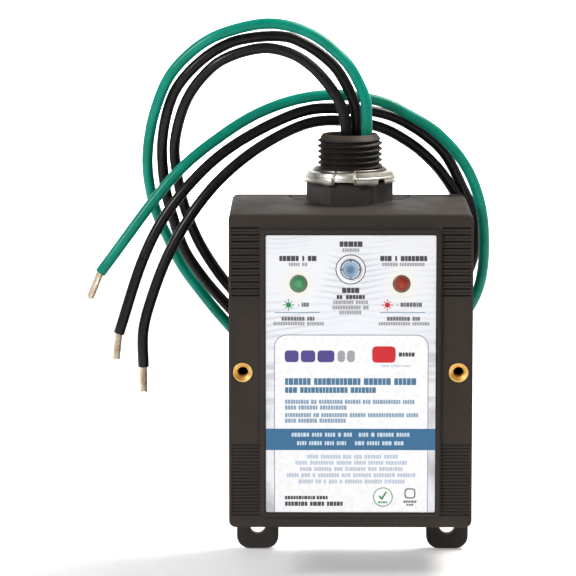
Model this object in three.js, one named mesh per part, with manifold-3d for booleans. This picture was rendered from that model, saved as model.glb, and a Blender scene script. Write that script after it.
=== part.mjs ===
// Whole house surge protector: a potted electronics box that hangs from an electrical panel by a threaded
// conduit nipple. Millimetres, +Z up, the label faces -Y and +X is to the label's right. The origin is on the
// nipple's axis, on top of its hex, which is where the panel wall is clamped.

import * as THREE from "three";
import { mergeVertices } from "three/addons/utils/BufferGeometryUtils.js";
import Module from "manifold-3d";

const wasm = await Module();
wasm.setup();

// ---------------------------------------------------------------- driving dimensions

const GAP = 0.3; // clearance between pieces that touch

const HOUSING = {
  width: 77.8,
  top: -7,
  bottom: -108.2,
  front: -36.5, // plane of the ribbed side bands
  rear: 16.2,
  wall: 3,
  topRadius: 2,
  bottomRadius: 2.8,
  edge: 0.7, // bevel round the front face
};
const COVER = { front: 16.5, back: 20.5 };
const BEZEL = { halfWidth: 28.9, top: -11.9, bottom: -104.8, front: -37.7, radius: 2 };
const LABEL = { halfWidth: 27.05, top: -13.6, bottom: -103, front: -37.3, thickness: 0.25, recess: -36.75 };

const RIB = { groove: 0.5, inner: 29, outer: 38.1 };
const UPPER_RIBS = { top: -11.4, count: 11, pitch: 2.16, depth: 0.8 };
const LOWER_RIBS = { top: -81.3, count: 22, pitch: 1.08, depth: 0.45 };

const EAR = { centres: [-30.5, 33.2], halfWidth: 7, bottom: -126.6, radius: 4.6, holeZ: -119.2, holeR: 2.6 };
const TONGUE = { radius: 20, centreY: 15.5 }; // the cover's tongue, which closes the slot behind the nipple

const THREAD = { pitch: 1.814, crestR: 10.65, rootR: 9.55, top: 15.2, chamfer: 1 };
const HEX = { acrossFlats: 25, cornerR: 14.1, bottom: -5.6 };
const FOOT = { outerR: 14.3, lipR: 12.7, web: 0.3, bottom: -6.7 }; // round foot, hollow below for the gasket
const NECK = { radius: 10.3, bottom: -16.4 };
const BORE_R = 8;
const WALL_HOLE_R = 10.65;
const GASKET = { outerR: 12.2, innerR: 10.65, bottom: -6.75, top: -6.15 };
const RETAINER = { acrossFlats: 26.5, top: -10.3, bottom: -15.3 };
const PLUG = { radius: 7.7, bottom: -13, top: 13 };

const WASHER = { innerR: 10.95, outerR: 12.8, bottom: 0.3, top: 1.3 };
const LOCKNUT = { innerR: 10.95, outerR: 14.95, skirtR: 13.1, bottom: 0.3, disc: 1.6, top: 4.2 };
const LUGS = { count: 8, notch: 2.3, phase: 0.35 }; // phase turns the ring of notches, as a part of one lug

const LED = { xs: [-16.6, 16.1], z: -29.1, radius: 2.5, tip: -37.6, holeR: 2.85 };
const BUTTON = { x: -0.1, z: -24.5, radius: 3.2, front: -38, dishR: 2.45, holeR: 3.5, flangeR: 4.6 };
const STEM = { radius: 1.3, end: -27.6, gap: 0.75 }; // gap is the free travel before the switch's plunger
const INSERT = { x: 34.4, z: -57.8, outerR: 3.15, boreR: 1.7, mouthR: 2.7, length: 9, bossR: 4.8 };

const BOARD = { halfWidth: 31, top: -17, bottom: -98, front: -23.2, back: -21.6, radius: 2 };
const BOARD_POSTS = { radius: 2.6, at: [[-27, -22], [27, -22], [-27, -94], [27, -94]] };
const BOARD_SCREW = { headR: 2.3, head: 1.8, shankR: 1.2, tip: -30, clearR: 1.5 };
const COVER_POSTS = { radius: 3.6, front: -8, at: [[-33.2, -13], [33.2, -13], [-33.2, -102], [33.2, -102]] };
const COVER_SCREW = { headR: 2.95, shankR: 1.4, tip: 1.5, clearR: 1.7, holeR: 1.9, sinkR: 3.3, sink: 2.4 };
const RIM = { step: 1.5, land: 1, gasket: 1.2 }; // the step in the housing's rear rim, and its gasket

const LEAD_R = 1.8;
const LEAD_SIDES = 8;
const STRAND_R = 1.25;
const TERMINAL = { z: -27, back: -15.3, half: 3 };
const LEG = 0.4; // half the width of a component's square leg

// Centre lines of the three free leads, from the seal in the nipple's mouth to the end of the insulation.
const GREEN_ROUTE = [
  [5.5, -1, 13.3], [5.5, -1, 20], [5, -1, 26.5], [2.5, 0, 32.5], [-0.5, 0, 37.5], [-5.5, 0.5, 42.5],
  [-11.5, 0.5, 47], [-19, 0.5, 50], [-26.5, 0.5, 51], [-36, 0.5, 49.5], [-45.5, 1, 46], [-53, 2, 40.5],
  [-59, 3, 33.5], [-63, 4, 24.5], [-65.5, 6, 15], [-66.5, 8, 4.5], [-65.5, 10, -5], [-63.5, 13, -13],
  [-60, 16.5, -21.5], [-56, 20, -30.5], [-50, 23, -39.5], [-40.5, 25, -51.5], [-28, 25, -63.5],
  [-12, 25, -69], [5, 25, -69], [21, 25, -63.5], [34.5, 24.5, -53.5], [43.5, 23.5, -39], [45, 21.5, -19],
  [42.5, 19.5, -6], [37.5, 17, 4.5], [28.5, 14.5, 14.5], [20, 12.5, 20], [11, 11, 24.5], [-3.5, 9, 27],
  [-16.5, 6, 26], [-30, 3, 21.5], [-42.5, 0, 14], [-56.5, -4, 2.5], [-81.5, -6, -30],
];
const BLACK_A_ROUTE = [
  [2, 2.5, 13.3], [2, 2.5, 21], [1, 2.5, 26], [-4, 3, 35.5], [-8.5, 3, 40], [-14.5, 3, 44],
  [-21, 3, 46.5], [-36, 3, 45.5], [-44, 3.5, 42], [-51.5, 4, 36], [-57, 5, 29], [-60, 6, 21],
  [-61.5, 7, 12], [-61.5, 8.5, 3.5], [-60.5, 9.5, -5], [-58.5, 11, -13], [-55, 13.5, -24],
  [-49.5, 17.5, -33.5], [-41, 23, -44.5], [-31, 25, -54.5], [-17, 25, -60.5], [-2, 25, -62],
  [12, 25, -58.5], [24.5, 25.5, -51], [34.5, 26.5, -41], [40.5, 27.5, -33], [42.5, 28, -24],
  [41.5, 27, -13.5], [38, 25, -5.5], [31, 20, 7.5], [20, 16, 16.5], [11, 14.5, 20.5], [-5.5, 10.5, 22.5],
  [-14.5, 7.5, 22], [-28.5, 4, 16.5], [-42.5, 0, 8], [-53, -3.5, -2], [-61, -5, -12.5],
  [-67.5, -6, -25.5], [-75.5, -6, -50],
];
const BLACK_B_ROUTE = [
  [-1, -1, 13.3], [-2, -1, 21.5], [-4.5, -1, 27.5], [-8.5, -1, 33], [-13, -0.5, 37.5],
  [-18.5, -0.5, 41], [-26.5, 0, 43], [-34, 0.5, 42], [-42.5, 1.5, 38.5], [-48.5, 3, 33], [-53, 4, 26.5],
  [-56, 5.5, 18.5], [-57.5, 7, 10], [-57, 9, 2.5], [-55.5, 11.5, -6.5], [-53, 14.5, -15],
  [-49, 18, -24.5], [-40.5, 24, -38], [-32, 24.5, -46.5], [-20, 25, -52.5], [-7, 25, -54.5],
  [6, 25, -53], [18, 25, -48], [28, 25, -40], [35, 25, -29.5], [38.2, 24.5, -18.5], [37, 23.5, -10.5],
  [31.3, 21, -0.5], [26, 19, 5.5], [20, 17, 10.5], [10, 14, 16], [-5.5, 10.5, 18.5], [-14.5, 8, 17.5],
  [-28.5, 3.5, 11], [-40.5, 0, 2], [-49.5, -3, -8], [-58.5, -5, -22.5], [-64.5, -6, -37.5],
  [-67.5, -6, -49], [-67.5, -6, -61],
];

// One row per lead: colour, free route, steps of its tube, the stripped end's tip and the terminal's x.
const LEADS = {
  green: { material: "green", route: GREEN_ROUTE, steps: 30, tip: [-85, -6, -38.5], terminalX: 9 },
  black_a: { material: "black", route: BLACK_A_ROUTE, steps: 28, tip: [-76.5, -6, -58.5], terminalX: 0 },
  black_b: { material: "black", route: BLACK_B_ROUTE, steps: 26, tip: [-67.5, -6, -69.3], terminalX: -9 },
};

// ---------------------------------------------------------------- materials

const finish = (color, roughness, metalness = 0) =>
  new THREE.MeshStandardMaterial({ color, roughness, metalness });

const MATERIALS = {
  housing: finish(0x3e3935, 0.6),
  nipple: finish(0x35322f, 0.55),
  rubber: finish(0x1d1c1b, 0.85),
  zinc: finish(0xc2c2ba, 0.35, 1),
  brass: finish(0xcd9650, 0.3, 1),
  steel: finish(0x9a9a98, 0.35, 1),
  label: finish(0xeef0f5, 0.4),
  button: finish(0x96b4d2, 0.4),
  greenLens: finish(0x55aa78, 0.25),
  redLens: finish(0xbe412d, 0.25),
  green: finish(0x058c6e, 0.35),
  black: finish(0x191616, 0.35),
  copper: finish(0xc8beaf, 0.35, 1),
  board: finish(0x1f5a34, 0.5),
  varistor: finish(0x2f62a8, 0.5),
  ceramic: finish(0xdcd8cc, 0.5),
  dark: finish(0x202022, 0.5),
  potting: finish(0x2a2826, 0.7),
};

// ---------------------------------------------------------------- solids

function solid(geometry) {
  const source = geometry.index ? geometry.toNonIndexed() : geometry;
  const bare = new THREE.BufferGeometry().setAttribute("position", source.getAttribute("position"));
  const merged = mergeVertices(bare, 1e-4);
  const vertProperties = merged.attributes.position.array;
  const triVerts = new Uint32Array(merged.index.array);
  return new wasm.Manifold(new wasm.Mesh({ numProp: 3, vertProperties, triVerts }));
}

function geometryOf(body) {
  const mesh = body.getMesh();
  const geometry = new THREE.BufferGeometry();
  geometry.setAttribute("position", new THREE.BufferAttribute(new Float32Array(mesh.vertProperties), 3));
  geometry.setIndex(new THREE.BufferAttribute(new Uint32Array(mesh.triVerts), 1));
  geometry.computeVertexNormals();
  return geometry;
}

const unite = (bodies) => bodies.reduce((whole, next) => whole.add(next));
const cut = (body, tools) => tools.reduce((whole, next) => whole.subtract(next), body);

function box([x0, x1], [y0, y1], [z0, z1]) {
  const geometry = new THREE.BoxGeometry(x1 - x0, y1 - y0, z1 - z0);
  return solid(geometry.translate((x0 + x1) / 2, (y0 + y1) / 2, (z0 + z1) / 2));
}

// Round bars along Y, Z and X, each between two coordinates of its own axis.
function barY(radius, y0, y1, x, z, sides = 20) {
  const geometry = new THREE.CylinderGeometry(radius, radius, y1 - y0, sides);
  return solid(geometry.translate(x, (y0 + y1) / 2, z));
}

function barZ(radius, z0, z1, x = 0, y = 0, sides = 32) {
  const geometry = new THREE.CylinderGeometry(radius, radius, z1 - z0, sides);
  return solid(geometry.rotateX(Math.PI / 2).translate(x, y, (z0 + z1) / 2));
}

function barX(radius, x0, x1, y, z, sides = 12) {
  const geometry = new THREE.CylinderGeometry(radius, radius, x1 - x0, sides);
  return solid(geometry.rotateZ(Math.PI / 2).translate((x0 + x1) / 2, y, z));
}

// A front-view outline (x, z) made into a slab from y0 to y1, with an optional bevel on both faces.
function slabY(shape, y0, y1, bevel = 0, curveSegments = 3) {
  const geometry = new THREE.ExtrudeGeometry(shape, {
    depth: y1 - y0 - 2 * bevel,
    curveSegments,
    bevelEnabled: bevel > 0,
    bevelThickness: bevel,
    bevelSize: bevel,
    bevelOffset: -bevel,
    bevelSegments: 1,
  });
  const axes = new THREE.Matrix4().makeBasis(
    new THREE.Vector3(1, 0, 0), new THREE.Vector3(0, 0, 1), new THREE.Vector3(0, -1, 0));
  return solid(geometry.applyMatrix4(axes).translate(0, y1 - bevel, 0));
}

// A side-view outline (y, z) made into a bar from x0 to x1.
function barOfSection(shape, x0, x1) {
  const geometry = new THREE.ExtrudeGeometry(shape, { depth: x1 - x0, bevelEnabled: false });
  const axes = new THREE.Matrix4().makeBasis(
    new THREE.Vector3(0, 1, 0), new THREE.Vector3(0, 0, 1), new THREE.Vector3(1, 0, 0));
  return solid(geometry.applyMatrix4(axes).translate(x0, 0, 0));
}

// A closed (radius, z) outline, anticlockwise, turned about the nipple's axis.
function turned(outline, sides = 32) {
  const profile = outline.map(([r, z]) => new THREE.Vector2(r, z));
  profile.push(profile[0].clone());
  return solid(new THREE.LatheGeometry(profile, sides).rotateX(Math.PI / 2));
}

function roundedRect(x0, x1, z0, z1, lowRadius, highRadius = lowRadius) {
  const shape = new THREE.Shape();
  shape.moveTo(x0 + lowRadius, z0);
  shape.lineTo(x1 - lowRadius, z0);
  shape.absarc(x1 - lowRadius, z0 + lowRadius, lowRadius, -Math.PI / 2, 0);
  shape.lineTo(x1, z1 - highRadius);
  shape.absarc(x1 - highRadius, z1 - highRadius, highRadius, 0, Math.PI / 2);
  shape.lineTo(x0 + highRadius, z1);
  shape.absarc(x0 + highRadius, z1 - highRadius, highRadius, Math.PI / 2, Math.PI);
  shape.lineTo(x0, z0 + lowRadius);
  shape.absarc(x0 + lowRadius, z0 + lowRadius, lowRadius, Math.PI, 1.5 * Math.PI);
  return shape;
}

// A hexagonal bar along Z with one flat towards -Y.
function hexBar(acrossFlats, z0, z1) {
  return barZ(acrossFlats / Math.sqrt(3), z0, z1, 0, 0, 6).rotate([0, 0, 30]);
}

// ---------------------------------------------------------------- housing, cover and seals

const half = HOUSING.width / 2;
const wallOutline = (inset) =>
  roundedRect(-half + inset, half - inset, HOUSING.bottom + inset, HOUSING.top - inset,
    Math.max(HOUSING.bottomRadius - inset, 0.6), Math.max(HOUSING.topRadius - inset, 0.6));

// The slot in the housing's top wall that the nipple slides into; spare trims it for the cover's tongue.
function tongueSlot(trim) {
  const low = HOUSING.top - HOUSING.wall - 1;
  const high = HOUSING.top + 1;
  const round = barZ(TONGUE.radius - trim, low, high, 0, TONGUE.centreY);
  const mouth = box([-TONGUE.radius + trim, TONGUE.radius - trim], [TONGUE.centreY, COVER.back], [low, high]);
  return round.add(mouth);
}

// A comb whose teeth cut the grooves of one ribbed band.
function ribCutter(side, { top, count, pitch, depth }) {
  const outside = HOUSING.front - 1;
  const shape = new THREE.Shape();
  shape.moveTo(outside, top + pitch);
  shape.lineTo(outside - 1, top + pitch);
  shape.lineTo(outside - 1, top - count * pitch);
  shape.lineTo(outside, top - count * pitch);
  const floor = HOUSING.front + depth;
  for (let i = count - 1; i >= 0; i--) {
    const z = top - i * pitch;
    shape.lineTo(outside, z - RIB.groove / 2);
    shape.lineTo(floor, z - RIB.groove / 2);
    shape.lineTo(floor, z + RIB.groove / 2);
    shape.lineTo(outside, z + RIB.groove / 2);
  }
  const [x0, x1] = side < 0 ? [-RIB.outer, -RIB.inner] : [RIB.inner, RIB.outer];
  return barOfSection(shape, x0, x1);
}

function frontHousing() {
  const inner = HOUSING.front + HOUSING.wall;
  let body = slabY(wallOutline(0), HOUSING.front, HOUSING.rear + 2, HOUSING.edge);
  body = cut(body, [
    slabY(wallOutline(-5), HOUSING.rear, HOUSING.rear + 6),
    slabY(wallOutline(HOUSING.wall), inner, HOUSING.rear + 1),
  ]);

  const rim = roundedRect(-BEZEL.halfWidth, BEZEL.halfWidth, BEZEL.bottom, BEZEL.top, BEZEL.radius);
  const recessWidth = LABEL.halfWidth + GAP;
  const recess = roundedRect(-recessWidth, recessWidth, LABEL.bottom - GAP, LABEL.top + GAP, 0.8);
  body = body.add(slabY(rim, BEZEL.front, inner - 0.5));
  body = cut(body, [slabY(recess, BEZEL.front - 1, LABEL.recess)]);

  // The rear rim is stepped on its inside to hold the cover's gasket, all round but for the screw posts.
  body = cut(body, [slabY(wallOutline(RIM.land), HOUSING.rear - RIM.step, HOUSING.rear + 1)]);
  const bosses = [
    ...[-1, 1].map((side) => barY(INSERT.bossR, HOUSING.front + 1, -25, side * INSERT.x, INSERT.z)),
    ...BOARD_POSTS.at.map(([x, z]) => barY(BOARD_POSTS.radius, HOUSING.front + 1, BOARD.front - GAP, x, z, 12)),
    ...COVER_POSTS.at.map(([x, z]) => barY(COVER_POSTS.radius, COVER_POSTS.front, HOUSING.rear, x, z, 16)),
  ];
  body = unite([body, ...bosses]).intersect(slabY(wallOutline(-0.01), BEZEL.front - 1, HOUSING.rear));

  const [outside, outsideRear] = [HOUSING.front - 1, HOUSING.rear + 1];
  const insertRear = HOUSING.front + INSERT.length + GAP;
  return cut(body, [
    ...[-1, 1].map((side) => barY(INSERT.outerR + GAP, outside, insertRear, side * INSERT.x, INSERT.z)),
    ...BOARD_POSTS.at.map(([x, z]) => barY(BOARD_SCREW.clearR, BOARD_SCREW.tip - 1, BOARD.back, x, z, 10)),
    ...COVER_POSTS.at.map(([x, z]) => barY(COVER_SCREW.clearR, COVER_SCREW.tip - 1, outsideRear, x, z, 10)),
    ...LED.xs.map((x) => barY(LED.holeR, BEZEL.front - 1, inner + 1, x, LED.z)),
    barY(BUTTON.holeR, BEZEL.front - 1, inner + 1, BUTTON.x, BUTTON.z),
    barZ(WALL_HOLE_R, HOUSING.top - HOUSING.wall - 1, HOUSING.top + 1),
    tongueSlot(0),
    ...[-1, 1].flatMap((side) => [ribCutter(side, UPPER_RIBS), ribCutter(side, LOWER_RIBS)]),
  ]);
}

function rearCover() {
  const plate = slabY(wallOutline(0), COVER.front, COVER.back, 0.5);
  const ears = EAR.centres.map((x) =>
    slabY(roundedRect(x - EAR.halfWidth, x + EAR.halfWidth, EAR.bottom, HOUSING.bottom + 8, EAR.radius, 1),
      COVER.front, COVER.back, 0.5));
  const tongue = tongueSlot(GAP).intersect(
    box([-half, half], [-20, COVER.back - 1], [HOUSING.top - HOUSING.wall, HOUSING.top]));
  const [before, behind] = [COVER.front - 1, COVER.back + 1];
  return cut(unite([plate, ...ears, tongue]), [
    barZ(WALL_HOLE_R, HOUSING.top - HOUSING.wall - 1, HOUSING.top + 1),
    ...EAR.centres.map((x) => barY(EAR.holeR, before, behind, x, EAR.holeZ)),
    ...COVER_POSTS.at.map(([x, z]) => barY(COVER_SCREW.holeR, before, behind, x, z, 12)),
    ...COVER_POSTS.at.map(([x, z]) => barY(COVER_SCREW.sinkR, COVER.back - COVER_SCREW.sink, behind, x, z)),
  ]);
}

// The gasket runs round the rim and stops at both sides of the tongue.
function coverGasket() {
  const [y0, y1] = [HOUSING.rear - RIM.gasket, HOUSING.rear];
  const ring = slabY(wallOutline(RIM.land + GAP), y0, y1).subtract(
    slabY(wallOutline(HOUSING.wall - GAP), y0 - 1, y1 + 1));
  const reach = TONGUE.radius + GAP;
  return cut(ring, [
    box([-reach, reach], [y0 - 1, y1 + 1], [HOUSING.top - 8, HOUSING.top + 1]),
    ...COVER_POSTS.at.map(([x, z]) => barY(COVER_POSTS.radius + 1.5 * GAP, y0 - 1, y1 + 1, x, z, 16)),
  ]);
}

function screw({ headR, shankR, tip }, seat, end, x, z) {
  return barY(headR, seat, end, x, z, 14).add(barY(shankR, tip, seat + 0.1, x, z, 8));
}

// ---------------------------------------------------------------- front: label, lamps, button, inserts

function labelPlate() {
  const outline = roundedRect(-LABEL.halfWidth, LABEL.halfWidth, LABEL.bottom, LABEL.top, 0.5);
  const rear = LABEL.front + LABEL.thickness;
  return cut(slabY(outline, LABEL.front, rear), [
    ...LED.xs.map((x) => barY(LED.holeR, LABEL.front - 1, rear + 1, x, LED.z)),
    barY(BUTTON.holeR, LABEL.front - 1, rear + 1, BUTTON.x, BUTTON.z),
  ]);
}

function lamp(x) {
  const flangeFront = HOUSING.front + HOUSING.wall + GAP;
  const dome = solid(new THREE.SphereGeometry(LED.radius, 14, 8).translate(x, LED.tip + LED.radius, LED.z));
  const legs = [-1.27, 1.27].map((dx) =>
    box([x + dx - 0.3, x + dx + 0.3], [flangeFront + 0.5, BOARD.front - GAP], [LED.z - 0.3, LED.z + 0.3]));
  return unite([
    dome,
    barY(LED.radius, LED.tip + LED.radius, flangeFront + 0.1, x, LED.z, 14),
    barY(LED.radius + 0.45, flangeFront, flangeFront + 1, x, LED.z, 14),
    ...legs,
  ]);
}

function silenceButton() {
  const { x, z, radius, front, dishR, flangeR } = BUTTON;
  const flangeFront = HOUSING.front + HOUSING.wall + GAP;
  const dish = barY(dishR, front - 1, front + 0.25, x, z);
  return unite([
    barY(radius, front, flangeFront + 0.1, x, z),
    barY(flangeR, flangeFront, flangeFront + 1.2, x, z),
    barY(STEM.radius, flangeFront + 1.1, STEM.end, x, z, 12),
  ]).subtract(dish);
}

function tactileSwitch() {
  const { x, z } = BUTTON;
  const face = STEM.end + STEM.gap + 0.25;
  return box([x - 3, x + 3], [face, BOARD.front - GAP], [z - 3, z + 3]).add(
    barY(1.7, STEM.end + STEM.gap, face + 0.1, x, z, 12));
}

function brassInsert(side) {
  const rear = HOUSING.front + INSERT.length;
  const x = side * INSERT.x;
  const mouth = new THREE.CylinderGeometry(INSERT.boreR, INSERT.mouthR, 1.2, 16);
  return cut(barY(INSERT.outerR, HOUSING.front, rear, x, INSERT.z), [
    barY(INSERT.boreR, HOUSING.front - 1, rear + 1, x, INSERT.z, 16),
    solid(mouth.translate(x, HOUSING.front + 0.55, INSERT.z)),
  ]);
}

// ---------------------------------------------------------------- nipple, locknut and seals

// A right-hand screw surface: every column of the grid climbs one pitch in a full turn.
function threadedRod(bottom, top) {
  const columns = 20;
  const turns = Math.ceil((top - bottom) / THREAD.pitch) + 2;
  const rows = 2 * turns;
  const position = [];
  const index = [];
  const at = (i, j) => (i === columns ? j + 2 : i * (rows + 3) + j);
  for (let i = 0; i < columns; i++) {
    const angle = (2 * Math.PI * i) / columns;
    for (let j = 0; j < rows + 3; j++) {
      const radius = j % 2 === 0 ? THREAD.rootR : THREAD.crestR;
      const z = bottom - 2 * THREAD.pitch + THREAD.pitch * (j / 2 + i / columns);
      position.push(radius * Math.cos(angle), radius * Math.sin(angle), z);
    }
  }
  const low = position.length / 3;
  position.push(0, 0, bottom - 4 * THREAD.pitch, 0, 0, top + 4 * THREAD.pitch);
  for (let i = 0; i < columns; i++) {
    for (let j = 0; j < rows; j++) {
      const corners = [at(i, j), at(i + 1, j), at(i + 1, j + 1), at(i, j + 1)];
      index.push(corners[0], corners[1], corners[2], corners[0], corners[2], corners[3]);
    }
    index.push(low, at(i + 1, 0), at(i, 0), low + 1, at(i, rows), at(i + 1, rows));
  }
  index.push(low, at(0, 0), at(0, 1), low, at(0, 1), at(0, 2));
  index.push(low + 1, at(0, rows + 1), at(0, rows), low + 1, at(0, rows + 2), at(0, rows + 1));
  const geometry = new THREE.BufferGeometry();
  geometry.setAttribute("position", new THREE.Float32BufferAttribute(position, 3));
  geometry.setIndex(index);
  return solid(geometry);
}

function conduitNipple() {
  const limit = turned([
    [0, -1], [THREAD.crestR + 1, -1], [THREAD.crestR + 1, THREAD.top - THREAD.chamfer - 1],
    [THREAD.rootR - 0.2, THREAD.top], [0, THREAD.top],
  ]);
  const thread = threadedRod(0, THREAD.top).intersect(limit);
  const root = barZ(THREAD.rootR - 0.2, -1, THREAD.top - 0.1);
  const neck = barZ(NECK.radius, NECK.bottom, HEX.bottom + 0.1);
  const under = HEX.bottom - FOOT.web;
  const foot = turned([
    [NECK.radius - 0.5, under], [FOOT.lipR, under], [FOOT.lipR, FOOT.bottom], [FOOT.outerR, FOOT.bottom],
    [FOOT.outerR, HEX.bottom + 0.1], [NECK.radius - 0.5, HEX.bottom + 0.1],
  ]);
  const hex = hexBar(HEX.acrossFlats, HEX.bottom, 0).intersect(barZ(HEX.cornerR, HEX.bottom - 1, 1));
  return unite([thread, root, hex, foot, neck]).subtract(
    barZ(BORE_R, NECK.bottom - 1, THREAD.top + 1));
}

function flatRing({ innerR, outerR, bottom, top }) {
  return turned([[innerR, bottom], [outerR, bottom], [outerR, top], [innerR, top]], 24);
}

function locknut() {
  const { innerR, outerR, skirtR, bottom, disc, top } = LOCKNUT;
  const ring = turned([
    [innerR, disc], [skirtR, disc], [skirtR, bottom], [outerR - 0.3, bottom], [outerR, 1],
    [outerR - 0.3, top - 1.3], [outerR - 1.6, top - 0.5], [innerR + 0.7, top], [innerR, top - 0.4],
  ]);
  const notches = Array.from({ length: LUGS.count }, (_, i) =>
    box([skirtR - 0.6, outerR + 1], [-LUGS.notch / 2, LUGS.notch / 2], [bottom - 1, disc + 0.4])
      .rotate([0, 0, (i + LUGS.phase) * (360 / LUGS.count)]));
  return cut(ring, notches);
}

// ---------------------------------------------------------------- circuit board and what it carries

function circuitBoard() {
  const outline = roundedRect(-BOARD.halfWidth, BOARD.halfWidth, BOARD.bottom, BOARD.top, BOARD.radius);
  return cut(slabY(outline, BOARD.front, BOARD.back),
    BOARD_POSTS.at.map(([x, z]) => barY(BOARD_SCREW.clearR, BOARD.front - 1, BOARD.back + 1, x, z, 10)));
}

const RISE = BOARD.back + GAP; // where a component's feet start, on the board's back face

function legs(x, z, spread, reach) {
  return [-spread, spread].map((dx) => box([x + dx - LEG, x + dx + LEG], [RISE, reach], [z - LEG, z + LEG]));
}

function varistor(x, z) {
  return unite([barY(10.4, RISE + 3, RISE + 9.5, x, z, 28), ...legs(x, z - 5, 3.75, RISE + 4)]);
}

function dischargeTube(x, z) {
  return unite([
    barX(4, x - 4, x + 4, RISE + 4.6, z, 16),
    ...[-4.6, 4.6].map((dx) => box([x + dx - 0.7, x + dx + 0.7], [RISE, RISE + 7], [z - 2, z + 2])),
  ]);
}

function buzzer(x, z) {
  return barY(8, RISE, RISE + 8.5, x, z, 24).subtract(barY(1.2, RISE + 7, RISE + 9, x, z, 10));
}

function axialPart(x, z, radius, length) {
  return unite([
    barX(radius, x - length / 2, x + length / 2, RISE + radius + 0.6, z),
    barX(LEG, x - length / 2 - 3, x + length / 2 + 3, RISE + radius + 0.6, z, 6),
    ...legs(x, z, length / 2 + 2.6, RISE + radius + 0.9),
  ]);
}

// ---------------------------------------------------------------- leads

function tube(points, radius, steps, sides) {
  const curve = new THREE.CatmullRomCurve3(points.map((p) => new THREE.Vector3(...p)), false, "centripetal");
  const section = new THREE.Shape();
  for (let i = 0; i < sides; i++) {
    const angle = (2 * Math.PI * i) / sides;
    section[i ? "lineTo" : "moveTo"](radius * Math.cos(angle), radius * Math.sin(angle));
  }
  return solid(new THREE.ExtrudeGeometry(section, { steps, extrudePath: curve }));
}

// The stripped end starts just past the insulation and runs on to its tip.
function strippedEnd({ route, tip }) {
  const from = new THREE.Vector3(...route.at(-1));
  const to = new THREE.Vector3(...tip);
  const start = from.clone().lerp(to, GAP / from.distanceTo(to));
  return tube([start.toArray(), start.clone().lerp(to, 0.5).toArray(), tip], STRAND_R, 2, LEAD_SIDES);
}

// Inside the box each conductor drops from the plug and turns forward to its terminal on the board.
function innerLead({ route, terminalX }) {
  const [x, y] = route[0];
  return tube([
    [x, y, PLUG.bottom - GAP], [x, y, PLUG.bottom - 4], [(x + terminalX) / 2, y - 4, TERMINAL.z + 3.5],
    [terminalX, y - 9, TERMINAL.z], [terminalX, TERMINAL.back + GAP, TERMINAL.z],
  ], LEAD_R, 8, LEAD_SIDES);
}

function terminal(x) {
  const { z, back, half: reach } = TERMINAL;
  return box([x - reach, x + reach], [RISE, back], [z - reach, z + reach]);
}

// ---------------------------------------------------------------- assembly

const group = new THREE.Group();

function place(name, body, material) {
  const mesh = new THREE.Mesh(geometryOf(body), MATERIALS[material]);
  mesh.name = name;
  group.add(mesh);
}

place("front_housing", frontHousing(), "housing");
place("rear_cover", rearCover(), "housing");
place("cover_gasket", coverGasket(), "rubber");
COVER_POSTS.at.forEach(([x, z], i) => {
  const seat = COVER.back - COVER_SCREW.sink + GAP;
  place(`cover_screw_${i + 1}`, screw(COVER_SCREW, seat, COVER.back - 0.2, x, z), "steel");
});

place("label_overlay", labelPlate(), "label");
place("green_led", lamp(LED.xs[0]), "greenLens");
place("red_led", lamp(LED.xs[1]), "redLens");
place("silence_button", silenceButton(), "button");
place("brass_insert_left", brassInsert(-1), "brass");
place("brass_insert_right", brassInsert(1), "brass");

place("conduit_nipple", conduitNipple(), "nipple");
place("nipple_gasket", flatRing(GASKET), "rubber");
place("retaining_nut", hexBar(RETAINER.acrossFlats, RETAINER.bottom, RETAINER.top)
  .subtract(barZ(WALL_HOLE_R, RETAINER.bottom - 1, RETAINER.top + 1)), "nipple");
place("sealing_washer", flatRing(WASHER), "rubber");
place("locknut", locknut(), "zinc");
place("lead_seal_plug", barZ(PLUG.radius, PLUG.bottom, PLUG.top), "potting");

place("circuit_board", circuitBoard(), "board");
BOARD_POSTS.at.forEach(([x, z], i) =>
  place(`board_screw_${i + 1}`, screw(BOARD_SCREW, RISE, BOARD.back + BOARD_SCREW.head, x, z), "steel"));
place("tactile_switch", tactileSwitch(), "dark");
place("varistor_1", varistor(-19, -50), "varistor");
place("varistor_2", varistor(4, -50), "varistor");
place("varistor_3", varistor(-19, -73), "varistor");
place("gas_discharge_tube", dischargeTube(5, -68), "ceramic");
place("piezo_buzzer", buzzer(12, -84), "dark");
place("thermal_fuse", axialPart(22, -68, 2, 8), "ceramic");
place("led_resistor_1", axialPart(22, -36, 1.2, 6), "ceramic");
place("led_resistor_2", axialPart(-20, -33, 1.2, 6), "ceramic");
place("filter_capacitor", unite([
  box([-21, -3], [RISE + 0.6, RISE + 12], [-95, -89]), ...legs(-12, -92, 7, RISE + 1),
]), "dark");

for (const [name, lead] of Object.entries(LEADS)) {
  place(`${name}_terminal`, terminal(lead.terminalX), "steel");
  place(`${name}_inner_lead`, innerLead(lead), lead.material);
  place(`${name}_lead`, tube(lead.route, LEAD_R, lead.steps, LEAD_SIDES), lead.material);
  place(`${name}_stripped_end`, strippedEnd(lead), "copper");
}

export default group;
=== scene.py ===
import math
import random

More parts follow.
